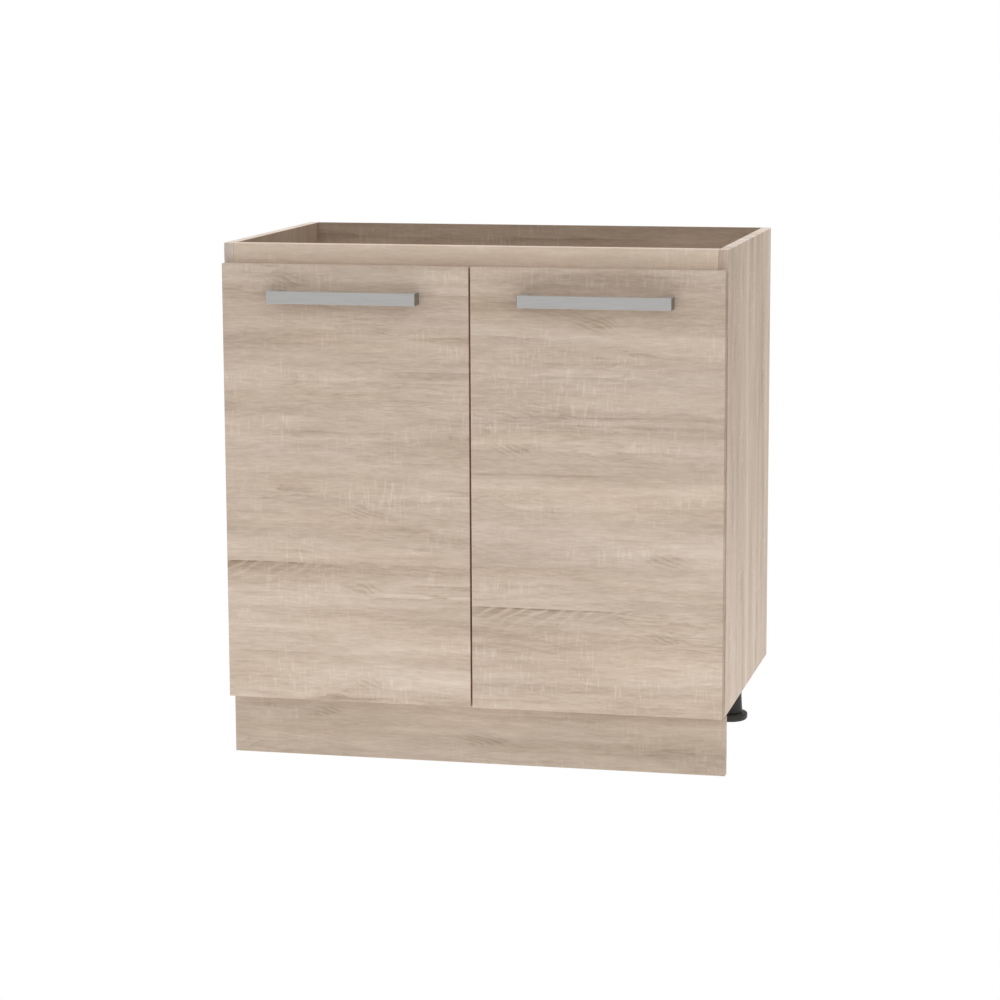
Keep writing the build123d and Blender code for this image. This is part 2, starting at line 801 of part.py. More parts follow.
for name, side in sides.items():
    nodes[name + "_side_panel"] = side_panel(side)
    nodes[name + "_door"] = door(side)
    nodes[name + "_handle"] = bow_handle(side)
    nodes[name + "_handle_screws"] = group(handle_screw(x) for x in handle_screw_xs(side))
    nodes[name + "_door_bumpers"] = group(door_bumper(x, z) for x, z in door_bumper_places(side))
    nodes[name + "_hinge_levers"] = group(hinge_lever(side, z) for z in hinge_heights.values())
    nodes[name + "_hinge_cup_pins"] = group(cup_pivot_pin(side, z) for z in hinge_heights.values())
    nodes[name + "_hinge_cup_screws"] = group(
        wood_screw(seat, forward) for z in hinge_heights.values() for seat in cup_screw_seats(side, z)
    )
    for level, z in hinge_heights.items():
        nodes[f"{name}_{level}_hinge_cup"] = hinge_cup(side, z)
        nodes[f"{name}_{level}_hinge_arm"] = hinge_arm(side, z)
        nodes[f"{name}_{level}_hinge_plate"] = mounting_plate(side, z)

nodes["bottom_panel"] = bottom_panel()
nodes["front_rail"] = front_rail()
nodes["rear_rail"] = rear_rail()
nodes["back_panel"] = back_panel()
nodes["shelf"] = shelf()
nodes["plinth_board"] = plinth_board()

nodes["shelf_pins"] = group(
    shelf_pin(side, *place) for side in sides.values() for place in shelf_pin_places(side)
)
nodes["cam_bolts"] = group(cam_bolt(side, y, z) for side in sides.values() for y, z, inward in all_cams)
nodes["cam_locks"] = group(cam_lock(side, *place) for side in sides.values() for place in all_cams)
nodes["dowels"] = group(dowel(side, y, z) for side in sides.values() for y, z in all_dowels)
nodes["back_panel_nails"] = group(nail(x, z) for x, z in nail_places())

for name, (x, y) in leg_places.items():
    nodes[name + "_leg_socket"] = leg_socket(x, y)
    nodes[name + "_leg_tube"] = leg_tube(x, y)
    nodes[name + "_foot"] = leveling_foot(x, y)
nodes["leg_screws"] = group(
    wood_screw(seat, up) for x, y in leg_places.values() for seat in leg_screw_seats(x, y)
)

front_legs = [leg_places["front_left"], leg_places["front_right"]]
nodes["plinth_clips"] = group(plinth_clip(x, y) for x, y in front_legs)
nodes["worktop_brackets"] = group(worktop_bracket(x) for x in bracket_xs)
nodes["plinth_clip_screws"] = group(
    wood_screw(seat, forward) for x, y in front_legs for seat in clip_screw_seats(x)
)
nodes["worktop_bracket_screws"] = group(wood_screw(bracket_screw_seat(x), forward) for x in bracket_xs)

every_hinge = [(side, z) for side in sides.values() for z in hinge_heights.values()]
nodes["hinge_arm_pins"] = group(arm_pivot_pin(side, z) for side, z in every_hinge)
nodes["hinge_arm_screws"] = group(
    arm_screw(side, z, back) for side, z in every_hinge for back in (fixing_screw_back, side_screw_back)
)
nodes["hinge_plate_screws"] = group(
    plate_screw_shape(side, hinge_y(-system_column), height, 0)
    for side, z in every_hinge for height in plate_screw_heights(z)
)

os.makedirs("parts", exist_ok=True)
for name, shape in nodes.items():
    export_step(shape, f"parts/{name}.step")
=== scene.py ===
import json
import math

import bpy
import numpy as np
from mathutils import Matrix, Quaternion, Vector


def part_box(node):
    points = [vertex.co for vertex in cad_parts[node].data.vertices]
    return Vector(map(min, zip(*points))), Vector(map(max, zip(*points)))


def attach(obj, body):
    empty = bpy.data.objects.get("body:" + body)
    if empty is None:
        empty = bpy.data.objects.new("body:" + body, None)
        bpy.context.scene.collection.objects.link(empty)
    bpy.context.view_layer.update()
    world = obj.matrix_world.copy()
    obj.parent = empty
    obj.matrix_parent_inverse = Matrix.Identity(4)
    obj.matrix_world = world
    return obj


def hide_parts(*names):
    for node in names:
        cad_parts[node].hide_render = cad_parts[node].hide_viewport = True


# Kitchen base cabinet in printed oak decor: finishes, small fittings, light and camera.
# Metres. X runs to the right, Y to the back, Z up, as in the frame.

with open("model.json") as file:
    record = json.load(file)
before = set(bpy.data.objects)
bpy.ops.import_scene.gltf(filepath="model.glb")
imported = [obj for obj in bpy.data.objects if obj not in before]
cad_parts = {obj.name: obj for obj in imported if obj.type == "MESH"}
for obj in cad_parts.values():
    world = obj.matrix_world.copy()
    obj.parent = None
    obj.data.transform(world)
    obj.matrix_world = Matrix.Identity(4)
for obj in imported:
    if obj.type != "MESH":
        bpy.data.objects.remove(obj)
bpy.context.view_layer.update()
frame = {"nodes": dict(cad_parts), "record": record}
node_body = {node: body for body, nodes in frame["record"]["behaviour"]["bodies"].items() for node in nodes}

# The photograph's view: degrees, and metres from the carcass front
view_azimuth = 12.985
view_elevation = 9.335
view_roll = -0.236
view_distance = 4.599
view_aside = 0.0433
view_height = 0.4268
view_lens = 106.2
view_sensor = 36.0

# Studio light: a dim white room, one soft light straight overhead, and a floor that glows
sky_strength = 0.53
overhead_strength = 0.95
overhead_spread = 140.0
floor_radius = 2.2
floor_corners = 128
floor_glow = 0.81

# Printed oak decor: its colours from dark to light, the tone of its plain ground, and what warm patches add
oak_dark = (152, 132, 113)
oak_middle = (206, 187, 170)
oak_light = (240, 226, 211)
ground_tone = 0.52
warm_red = 0.06
warm_blue = -0.1

# Lines of the decor: their spacing in metres, how far slanted strokes lean along the grain,
# and the step between two flames in the values of their noise
plank_height = 0.29
growth_line_spacing = 0.052
vein_spacing = 0.027
vein_lean = -1.7
curl_spacing = 0.019
curl_lean = 2.4
flame_step = 0.12

# Share of each part of the decor in its tone: paler above 0, darker below
band_share = 0.8
streak_share = 0.46
tuft_share = 0.16
fibre_share = 0.36
saw_mark_share = 0.15
growth_line_share = -0.22
flame_share = -0.16
curl_share = -0.17
vein_share = -0.32
joint_share = -0.3

# Strength of a plank joint by itself, what veins at it add, and how fast the two fade off it
bare_joint = 0.4
veined_joint = 0.6
joint_power = 70.0
vein_power = 16.0

# Edges and faces of boards: their depth, and the red, green and blue factors on the print there; some are
# painted light and shade
edge_depth = 0.0006
dark_edge = (0.70, 0.67, 0.63)
# Door edges facing the gap between the doors are lightened: painted light against the gap's shadow
gap_edge_painted_light = (1.10, 1.05, 1.00)
grey_edge = (1.02, 1.08, 1.18)
warm_edge = (1.08, 1.06, 1.07)
# Top edges of the side panels are made paler: painted light from overhead
pale_top_painted_light = (1.48, 1.56, 1.66)
# Top edges of the rails are made paler: painted light from overhead
rail_top_painted_light = (1.22, 1.22, 1.22)
# Inner faces of the side panels are darkened: painted shade of the cabinet's inside
inner_face_painted_shade = (0.69, 0.64, 0.58)
rail_face = (0.99, 0.955, 0.92)
plinth_face = (0.99, 1.02, 1.04)
dark_bar_end = (0.40, 0.36, 0.32)

# Screws: height of the head, radius of the shank, pitch of the thread, and length of the point, in metres
wood_screw = {"head": 0.0012, "shank": 0.00175, "pitch": 0.0016, "point": 0.003}
system_screw = {"head": 0.0016, "shank": 0.0025, "pitch": 0.0022, "point": 0.002}
arm_screw = {"head": 0.002, "shank": 0.002, "pitch": 0.0009, "point": 0.0005}
handle_screw = {"head": 0.0024, "shank": 0.002, "pitch": 0.0009, "point": 0.0005}

# Their dome and recess depth as shares of the head, the recess's arm and half slot as shares of the rim,
# and the blunt tip and the thread depth as shares of the shank
dome_share = 0.4
recess_depth_share = 0.55
recess_arm_share = 0.62
recess_slot_share = 0.13
tip_share = 0.15
thread_share = 0.3

# Shelf pins, dowels, cam bolts and feet, in metres
pin_radius = 0.0025
pin_reach = 0.008
pin_collar = 0.0015
pin_ease = 0.0004
dowel_chamfer = 0.0008
dowel_flutes = 14
flute_depth = 0.0003
bolt_head = 0.003
bolt_head_radius = 0.0028
bolt_neck = 0.0035
bolt_neck_radius = 0.0018
bolt_thread = 0.011
bolt_thread_radius = 0.0025
bolt_pitch = 0.002
foot_rise = 0.013
foot_under_rounding = 0.006
foot_top_rounding = 0.003
spindle_radius = 0.01
spindle_chamfer = 0.001
spindle_pitch = 0.004
spindle_groove = 0.0012

# Fineness of the turned fittings: sides round them, steps along them, and degrees of a sharp edge
small_sides = 40
screw_sides = 48
foot_sides = 72
dome_steps = 14
bend_steps = 10
steps_per_turn = 6
sides_per_flute = 6
bolt_thread_steps = 40
spindle_steps = 90
sharp_angle = 35.0


def shade(red, green, blue):
    """Linear colour of a screen colour given from 0 to 255."""
    def linear(value):
        part = value / 255
        return part / 12.92 if part <= 0.04045 else ((part + 0.055) / 1.055) ** 2.4
    return (linear(red), linear(green), linear(blue), 1.0)


class NodeBench:
    """Adds shader nodes to one tree. Most methods hand back the new node's output socket."""

    def __init__(self, tree):
        self.tree = tree

    def feed(self, socket, value):
        """Links an input to another node's output, or sets it to a plain value."""
        if isinstance(value, bpy.types.NodeSocket):
            self.tree.links.new(value, socket)
        else:
            socket.default_value = value

    def add(self, kind, *values, **settings):
        """New node with its settings, and its inputs filled in order."""
        node = self.tree.nodes.new(kind)
        for name, value in settings.items():
            setattr(node, name, value)
        for socket, value in zip(node.inputs, values):
            self.feed(socket, value)
        return node

    def math(self, operation, *values):
        return self.add("ShaderNodeMath", *values, operation=operation).outputs[0]

    def total(self, *values):
        """Sum of any number of values."""
        result = values[0]
        for value in values[1:]:
            result = self.math("ADD", result, value)
        return result

    def times(self, *values):
        """Product of any number of values."""
        result = values[0]
        for value in values[1:]:
            result = self.math("MULTIPLY", result, value)
        return result

    def ease(self, value, low, high):
        """0 below low, 1 above high, and a smooth step between."""
        node = self.add("ShaderNodeMapRange", value, low, high, interpolation_type="SMOOTHSTEP")
        return node.outputs[0]

    def stretch(self, vector, factors, place=(0, 0, 0)):
        """Vector times factors, moved by place."""
        node = self.add("ShaderNodeVectorMath", vector, factors, place, operation="MULTIPLY_ADD")
        return node.outputs[0]

    def noise(self, vector, factors, detail=2.0, roughness=0.5, place=(0, 0, 0)):
        """Cloudy noise about 0, from -0.5 to 0.5, stretched by factors per metre."""
        node = self.tree.nodes.new("ShaderNodeTexNoise")
        self.feed(node.inputs["Vector"], self.stretch(vector, factors, place))
        node.inputs["Scale"].default_value = 1.0
        node.inputs["Detail"].default_value = detail
        node.inputs["Roughness"].default_value = roughness
        return self.math("SUBTRACT", node.outputs["Fac"], 0.5)

    def ramp(self, value, stops):
        """Colour ramp through (place, colour) stops."""
        node = self.add("ShaderNodeValToRGB", value)
        elements = node.color_ramp.elements
        while len(elements) < len(stops):
            elements.new(1.0)
        for element, (place, colour) in zip(elements, stops):
            element.position = place
            element.color = colour
        return node.outputs["Color"]

    def blend(self, factor, first, second):
        """First colour where factor is 0, second where it is 1."""
        node = self.add("ShaderNodeMix", data_type="RGBA")
        self.feed(node.inputs["Factor"], factor)
        self.feed(node.inputs["A"], first)
        self.feed(node.inputs["B"], second)
        return node.outputs["Result"]

    def tint(self, colour, factors):
        """Colour with its red, green and blue each times a factor."""
        return self.add("ShaderNodeVectorMath", colour, factors, operation="MULTIPLY").outputs[0]

    def sawtooth(self, value, period, power):
        """Rises to 1 over each period, bent by the power, and drops sharply to 0."""
        return self.math("POWER", self.math("FRACT", self.math("DIVIDE", value, period)), power)

    def split(self, vector):
        """X, Y and Z of a vector."""
        return self.add("ShaderNodeSeparateXYZ", vector).outputs

    def object_place(self):
        return self.add("ShaderNodeTexCoord").outputs["Object"]


class Finish(NodeBench):
    """A material on one principled shader."""

    def __init__(self, name, **constants):
        self.material = bpy.data.materials.new(name)
        self.material.use_nodes = True
        super().__init__(self.material.node_tree)
        self.shader = self.tree.nodes["Principled BSDF"]
        for socket, value in constants.items():
            self.set(socket.replace("_", " "), value)

    def set(self, socket, value):
        self.feed(self.shader.inputs[socket], value)

    def relief(self, height, depth, distance=0.001):
        """Bump from a height, with its strength and its reach in metres."""
        node = self.tree.nodes.new("ShaderNodeBump")
        node.inputs["Strength"].default_value = depth
        node.inputs["Distance"].default_value = distance
        self.feed(node.inputs["Height"], height)
        self.set("Normal", node.outputs["Normal"])


# Printed oak. On the sheet X runs along the grain, Y across it and Z through the board.

def oak_sheet():
    """Node group of the decor print, read at a place on the sheet in metres.

    Bands, streaks, tufts and fibres are noise stretched along the grain. Growth lines are a sawtooth
    across the grain, dark at one sharp side. Flames are the contours of a stretched noise. Curls are
    slanted strokes in thin patches. At a plank joint, pale slanted veins cross a dark field. Saw marks are
    short pale ticks across the grain. Each noise is given its cycles per metre along, across and through.
    """
    group = bpy.data.node_groups.new("oak_sheet", "ShaderNodeTree")
    group.interface.new_socket("Sheet", in_out="INPUT", socket_type="NodeSocketVector")
    group.interface.new_socket("Lift", in_out="INPUT", socket_type="NodeSocketFloat")
    group.interface.new_socket("Contrast", in_out="INPUT", socket_type="NodeSocketFloat")
    group.interface.new_socket("Tone", in_out="OUTPUT", socket_type="NodeSocketFloat")
    group.interface.new_socket("Colour", in_out="OUTPUT", socket_type="NodeSocketColor")
    bench = NodeBench(group)
    sheet, lift, contrast = group.nodes.new("NodeGroupInput").outputs[:3]
    along, across = bench.split(sheet)[:2]

    # Grain that wanders slowly, and more inside figured patches
    wander = bench.noise(sheet, (2, 6, 6))
    ripple = bench.noise(sheet, (16, 45, 45), place=(3, 5, 1))
    figured = bench.ease(bench.noise(sheet, (4.5, 12, 12), place=(9, 2, 4)), 0.02, 0.16)
    bent = bench.total(
        across,
        bench.times(wander, 0.03),
        bench.times(ripple, 0.004),
        bench.times(ripple, figured, 0.03),
    )
    sway = bench.noise(sheet, (14, 14, 14), place=(5, 8, 2))

    def slanted(lean, rippled, swayed):
        """Place along the grain of strokes that lean across it and waver, by so many metres."""
        return bench.total(
            along,
            bench.times(across, lean),
            bench.times(ripple, rippled),
            bench.times(sway, swayed),
        )

    # Growth lines come and go along the grain
    uneven = bench.times(bench.noise(sheet, (0.4, 24, 24), place=(6, 1, 9)), 0.09)
    line_strength = bench.ease(bench.noise(sheet, (3.2, 22, 22), place=(1, 8, 3)), -0.02, 0.16)
    teeth = bench.sawtooth(bench.total(bent, uneven), growth_line_spacing, 6.0)
    lines = bench.times(teeth, line_strength)
    flame_field = bench.noise(sheet, (7, 50, 50), detail=1.5, place=(2, 7, 5))
    flames = bench.times(bench.sawtooth(flame_field, flame_step, 3.0), figured)

    # Plank joints, each with its own stretches of dark line and of veins, which make the line stronger
    plank = bench.math("DIVIDE", across, plank_height)
    below = bench.math("FRACT", plank)
    row = bench.add("ShaderNodeCombineXYZ", along, bench.times(bench.math("FLOOR", plank), 3.7)).outputs[0]
    jointed = bench.ease(bench.noise(row, (3, 1, 1)), -0.02, 0.1)
    veined = bench.ease(bench.noise(row, (2.6, 1, 1), detail=1, place=(6, 2, 0)), 0.05, 0.15)
    line = bench.total(bench.times(jointed, bare_joint), bench.times(veined, veined_joint))
    joint = bench.times(bench.math("POWER", below, joint_power), line)
    vein_place = slanted(vein_lean, 0.03, 0.05)
    from_vein = bench.math("SUBTRACT", bench.sawtooth(vein_place, vein_spacing, 1.0), 0.5)
    vein = bench.ease(bench.math("ABSOLUTE", from_vein), 0.02, 0.3)
    veins = bench.times(bench.math("POWER", below, vein_power), veined, vein)

    # Curls: slanted dark strokes in thin lens-shaped patches, round a few of many scattered places
    spots = bench.stretch(sheet, (8, 26, 0))
    cells = bench.add("ShaderNodeTexVoronoi", voronoi_dimensions="2D")
    bench.feed(cells.inputs["Vector"], spots)
    cells.inputs["Scale"].default_value = 1.0
    chosen = bench.math("GREATER_THAN", bench.split(cells.outputs["Color"])[0], 0.87)
    reach = bench.total(cells.outputs["Distance"], bench.times(ripple, 0.5))
    patch = bench.math("SUBTRACT", 1.0, bench.ease(reach, 0.08, 0.42))
    curl_place = slanted(curl_lean, 0.05, 0.06)
    stroke = bench.ease(bench.sawtooth(curl_place, curl_spacing, 1.0), 0.25, 0.95)
    curls = bench.times(chosen, patch, bench.total(0.3, stroke))

    # Bands, streaks, tufts and fibres of falling length
    broad = bench.noise(sheet, (1.4, 21, 21), detail=2, place=(2, 2, 7))
    streak = bench.noise(sheet, (13, 115, 115), detail=4, roughness=0.65, place=(5, 1, 2))
    tuft = bench.noise(sheet, (24, 140, 140), detail=3, roughness=0.6, place=(1, 6, 3))
    fibre = bench.noise(sheet, (60, 430, 430), detail=2, place=(7, 3, 5))

    # Saw marks, in patches
    sawn = bench.ease(bench.noise(sheet, (6.5, 17, 17), place=(4, 6, 8)), -0.1, 0.22)
    mark = bench.ease(bench.noise(sheet, (220, 36, 36), place=(8, 4, 6)), 0.02, 0.2)
    marks = bench.times(sawn, mark)

    figure = bench.total(
        bench.times(broad, band_share),
        bench.times(streak, streak_share),
        bench.times(tuft, tuft_share),
        bench.times(fibre, fibre_share),
        bench.times(lines, growth_line_share),
        bench.times(flames, flame_share),
        bench.times(curls, curl_share),
        bench.times(joint, joint_share),
        bench.times(veins, vein_share),
        bench.times(marks, saw_mark_share),
    )
    tone = bench.total(lift, ground_tone, bench.times(figure, contrast))
    print_colour = bench.ramp(tone, [
        (0.0, shade(*oak_dark)),
        (0.5, shade(*oak_middle)),
        (1.0, shade(*oak_light)),
    ])
    warmth = bench.noise(sheet, (2.4, 17, 17), detail=2, place=(3, 9, 6))
    hue = bench.add(
        "ShaderNodeCombineXYZ",
        bench.math("MULTIPLY_ADD", warmth, warm_red, 1.0),
        1.0,
        bench.math("MULTIPLY_ADD", warmth, warm_blue, 0.99),
    )
    out = group.nodes.new("NodeGroupOutput")
    bench.feed(out.inputs["Tone"], tone)
    bench.feed(out.inputs["Colour"], bench.tint(print_colour, hue.outputs[0]))
    return group


decor = oak_sheet()
axes = {"x": 0, "y": 1, "z": 2}


def oak_board(node, along, across, through, place, lift=0.0, contrast=1.0, **edges):
    """Oak decor on one board, cut from its own place of the sheet, with the grain along one axis.

    Lift makes the whole board paler or darker, and contrast makes its figure stronger or weaker.
    Edges name faces, as in high_z, and the factors on their print, or None for raw hardboard. Some factors
    are painted light and shade: paler top edges, lighter door edges in the gap, darker inner faces.
    """
    finish = Finish(node + "_oak", Specular_IOR_Level=0.18)
    here = finish.split(finish.object_place())
    grained = finish.add("ShaderNodeCombineXYZ", *[here[axes[axis]] for axis in (along, across, through)])
    figure = finish.tree.nodes.new("ShaderNodeGroup")
    figure.node_tree = decor
    finish.feed(figure.inputs["Sheet"], finish.stretch(grained.outputs[0], (1, 1, 1), place))
    figure.inputs["Lift"].default_value = lift
    figure.inputs["Contrast"].default_value = contrast
    colour = figure.outputs["Colour"]
    low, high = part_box(node)
    for face, factors in edges.items():
        side, axis = face.split("_")
        number = axes[axis]
        if side == "low":
            edge = finish.math("LESS_THAN", here[number], low[number] + edge_depth)
        else:
            edge = finish.math("GREATER_THAN", here[number], high[number] - edge_depth)
        edge_colour_and_painted_light = raw_hardboard(finish) if factors is None else finish.tint(colour, factors)
        colour = finish.blend(edge, colour, edge_colour_and_painted_light)
    finish.set("Base Color", colour)
    finish.set("Roughness", finish.math("MULTIPLY_ADD", figure.outputs["Tone"], -0.12, 0.62))
    finish.relief(figure.outputs["Tone"], 0.12, 0.0006)
    return finish.material


def raw_hardboard(finish):
    """Colour of the unprinted side of pressed fibre: brown with darker and paler fibre tufts."""
    here = finish.object_place()
    cloud = finish.noise(here, (9, 9, 9), detail=3)
    tuft = finish.noise(here, (700, 700, 700), detail=3, roughness=0.7)
    tone = finish.total(0.5, finish.times(cloud, 0.25), finish.times(tuft, 0.7))
    return finish.ramp(tone, [
        (0.15, shade(136, 110, 86)),
        (0.5, shade(166, 138, 109)),
        (0.85, shade(194, 168, 138)),
    ])


# Boards: the axes along the grain, across it and through the board, and the place on the sheet
flat_grain = ("x", "y", "z")
lying_grain = ("x", "z", "y")
standing_grain = ("z", "y", "x")
board_finishes = {
    "left_door": oak_board(
        "left_door", *lying_grain, (2.0385, 1.131, 0.0),
        low_x=dark_edge, high_x=gap_edge_painted_light,
    ),
    "right_door": oak_board(
        "right_door", *lying_grain, (1.5485, 1.190, 0.09),
        low_x=gap_edge_painted_light, high_x=dark_edge,
    ),
    # The rail's lift makes its print paler: painted light on the rail recessed behind the doors
    "front_rail": oak_board(
        "front_rail", *lying_grain, (-0.116, 0.528, -0.018), lift=0.31, contrast=0.75,
        low_y=rail_face, high_z=rail_top_painted_light,
    ),
    "rear_rail": oak_board("rear_rail", *lying_grain, (4.3, 2.1, 1.3), high_z=rail_top_painted_light),
    # The plinth's lift darkens its print: painted shade under the doors
    "plinth_board": oak_board(
        "plinth_board", *lying_grain, (2.6, 1.33, 0.16), lift=-0.15, contrast=0.75,
        low_y=plinth_face,
    ),
    # The back panel's lift darkens its print: painted shade inside the cabinet
    "back_panel": oak_board(
        "back_panel", *lying_grain, (7.2, 4.6, 2.2), lift=-0.2, contrast=0.75,
        high_y=None,
    ),
    "bottom_panel": oak_board("bottom_panel", *flat_grain, (8.4, 5.3, 2.7), low_y=grey_edge),
    "shelf": oak_board("shelf", *flat_grain, (9.6, 6.8, 3.1), low_y=grey_edge),
    "left_side_panel": oak_board(
        "left_side_panel", *standing_grain, (1.0, 0.9, 0.169), lift=0.03, contrast=0.75,
        high_x=inner_face_painted_shade, low_y=grey_edge, high_z=pale_top_painted_light,
    ),
    "right_side_panel": oak_board(
        "right_side_panel", *standing_grain, (2.6, 3.02, -0.631), lift=-0.04, contrast=0.87,
        low_x=inner_face_painted_shade, low_y=warm_edge, high_z=pale_top_painted_light,
    ),
}


def handle_grey():
    """Satin grey lacquer with fine lengthwise brushing, and darker end faces."""
    finish = Finish("handle_grey_satin", Metallic=0.25, Specular_IOR_Level=0.4)
    here = finish.object_place()
    brushed = finish.noise(here, (25, 900, 900), detail=3)
    lacquer = finish.ramp(finish.math("ADD", brushed, 0.5), [
        (0.2, shade(184, 183, 181)),
        (0.8, shade(197, 196, 194)),
    ])
    low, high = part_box("right_handle")
    middle = (low.x + high.x) / 2
    half_length = (high.x - low.x) / 2
    from_middle = finish.math("SUBTRACT", finish.math("ABSOLUTE", finish.split(here)[0]), middle)
    end = finish.math("GREATER_THAN", finish.math("ABSOLUTE", from_middle), half_length - edge_depth)
    finish.set("Base Color", finish.blend(end, lacquer, finish.tint(lacquer, dark_bar_end)))
    finish.set("Roughness", finish.math("MULTIPLY_ADD", brushed, 0.2, 0.42))
    finish.relief(brushed, 0.08, 0.0003)
    return finish.material


def black_plastic():
    """Moulded black plastic with a fine spark-eroded skin."""
    finish = Finish("black_plastic_moulded", Specular_IOR_Level=0.3)
    skin = finish.noise(finish.object_place(), (900, 900, 900), detail=3)
    finish.set("Base Color", finish.ramp(finish.math("ADD", skin, 0.5), [
        (0.2, shade(40, 38, 36)),
        (0.8, shade(52, 50, 47)),
    ]))
    finish.set("Roughness", finish.math("MULTIPLY_ADD", skin, 0.25, 0.5))
    finish.relief(skin, 0.25, 0.0003)
    return finish.material


def plated_steel(name, dull, bright, roughness):
    """Plated steel with cloudy brightness and faint scuffs."""
    finish = Finish(name, Metallic=0.6)
    here = finish.object_place()
    cloud = finish.noise(here, (120, 120, 120), detail=3)
    scuff = finish.noise(here, (900, 250, 250), detail=2)
    finish.set("Base Color", finish.ramp(finish.math("ADD", cloud, 0.5), [
        (0.25, shade(*dull)),
        (0.75, shade(*bright)),
    ]))
    finish.set("Roughness", finish.math("MULTIPLY_ADD", cloud, 0.2, roughness))
    finish.relief(scuff, 0.05, 0.0002)
    return finish.material


def beech_dowel():
    """Beech rod: fine grain along its length with short dark flecks."""
    finish = Finish("beech_rod", Roughness=0.6)
    here = finish.object_place()
    grain = finish.noise(here, (40, 900, 900), detail=3)
    fleck = finish.ease(finish.noise(here, (180, 1500, 1500)), 0.12, 0.2)
    tone = finish.total(grain, 0.5, finish.times(fleck, -0.25))
    finish.set("Base Color", finish.ramp(tone, [
        (0.1, shade(150, 108, 74)),
        (0.8, shade(222, 184, 142)),
    ]))
    finish.relief(grain, 0.2, 0.0003)
    return finish.material


def clear_rubber():
    """Soft clear bumper, slightly clouded."""
    finish = Finish("clear_rubber_soft", Transmission_Weight=0.75, IOR=1.45)
    cloud = finish.noise(finish.object_place(), (700, 700, 700))
    finish.set("Base Color", finish.ramp(finish.math("ADD", cloud, 0.5), [
        (0.2, shade(225, 228, 228)),
        (0.8, shade(244, 246, 246)),
    ]))
    finish.set("Roughness", finish.math("MULTIPLY_ADD", cloud, 0.2, 0.3))
    return finish.material


fitting_finishes = {
    "handle_grey": handle_grey(),
    "black_plastic": black_plastic(),
    "nickel_steel": plated_steel("nickel_plated_steel", (196, 191, 183), (219, 214, 206), 0.36),
    "zinc_steel": plated_steel("zinc_plated_steel", (190, 194, 197), (214, 217, 220), 0.42),
    "beech_dowel": beech_dowel(),
    "clear_rubber": clear_rubber(),
}


# Turned fittings. Each is a grid with rows along its axis and columns round it, from pole to pole.

def solid_boxes(node):
    """Lowest and highest corner of each separate solid of a node.

    Corners at one place count as one point. Every point takes the lowest number of its triangle's points,
    again and again until nothing changes, so that in the end all points of one solid share a number.
    """
    mesh = frame["nodes"][node].data
    corners = np.empty(3 * len(mesh.vertices))
    mesh.vertices.foreach_get("co", corners)
    triangles = np.empty(len(mesh.loops), int)
    mesh.loops.foreach_get("vertex_index", triangles)
    places, point = np.unique(corners.reshape(-1, 3).round(7), axis=0, return_inverse=True)
    triangles = point.reshape(-1)[triangles].reshape(-1, 3)
    number = np.arange(len(places))
    settled = False
    while not settled:
        lower = number.copy()
        np.minimum.at(lower, triangles, number[triangles].min(axis=1, keepdims=True))
        settled = np.array_equal(lower, number)
        number = lower
    solids = [places[number == one] for one in np.unique(number)]
    return [(solid.min(axis=0), solid.max(axis=0)) for solid in solids]


def outline(*corners):
    """Rows through profile corners, each a place along the axis, a radius and the steps that lead to it."""
    rows = [np.array([corners[0][:2]])]
    for start, (place, radius, steps) in zip(corners, corners[1:]):
        rows.append(np.linspace(start[:2], (place, radius), steps + 1)[1:])
    return np.concatenate(rows)


def turned(rows, sides):
    """Place, radius and turn of every point of a turned piece: each row of the outline carried round."""
    turn = np.linspace(0, 2 * np.pi, sides, endpoint=False)
    place, radius = [np.repeat(column[:, None], sides, axis=1) for column in rows.T]
    return place, radius, turn


def threaded(place, radius, turn, start, end, pitch, depth):
    """Radius less a helical groove: a triangle wave of place over pitch less turn, faded over one pitch."""
    wave = np.abs((place / pitch - turn / (2 * np.pi)) % 1 - 0.5) * 2
    fade = np.clip((place - start) / pitch, 0, 1) * np.clip((end - place) / pitch, 0, 1)
    return radius - depth * fade * wave


def cross_recess(place, radius, turn, arm, half_slot, depth):
    """Place sunk in a cross: deep where one distance is within the slot and the other within the arm."""
    first = np.abs(radius * np.cos(turn))
    second = np.abs(radius * np.sin(turn))
    slope = half_slot / 2
    in_slot = np.clip((half_slot - np.minimum(first, second)) / slope + 0.5, 0, 1)
    in_arm = np.clip((arm - np.maximum(first, second)) / slope, 0, 1)
    return place + depth * in_slot * in_arm


def on_axis(place, radius, turn, start, way):
    """Points of a grid: from start along the way by place, and off the axis by radius at each turn."""
    side = np.roll(way, 1)
    other = np.cross(way, side)
    off_axis = radius[..., None] * (np.cos(turn)[:, None] * side + np.sin(turn)[:, None] * other)
    return start + place[..., None] * way + off_axis


def axis_of(low, high, way):
    """Start of a solid's axis at the end where the way begins, its length, and its greatest radius."""
    along = np.abs(way).argmax()
    start = (low + high) / 2
    start[along] = low[along] if way[along] > 0 else high[along]
    size = high - low
    return start, size[along], np.delete(size, along).max() / 2


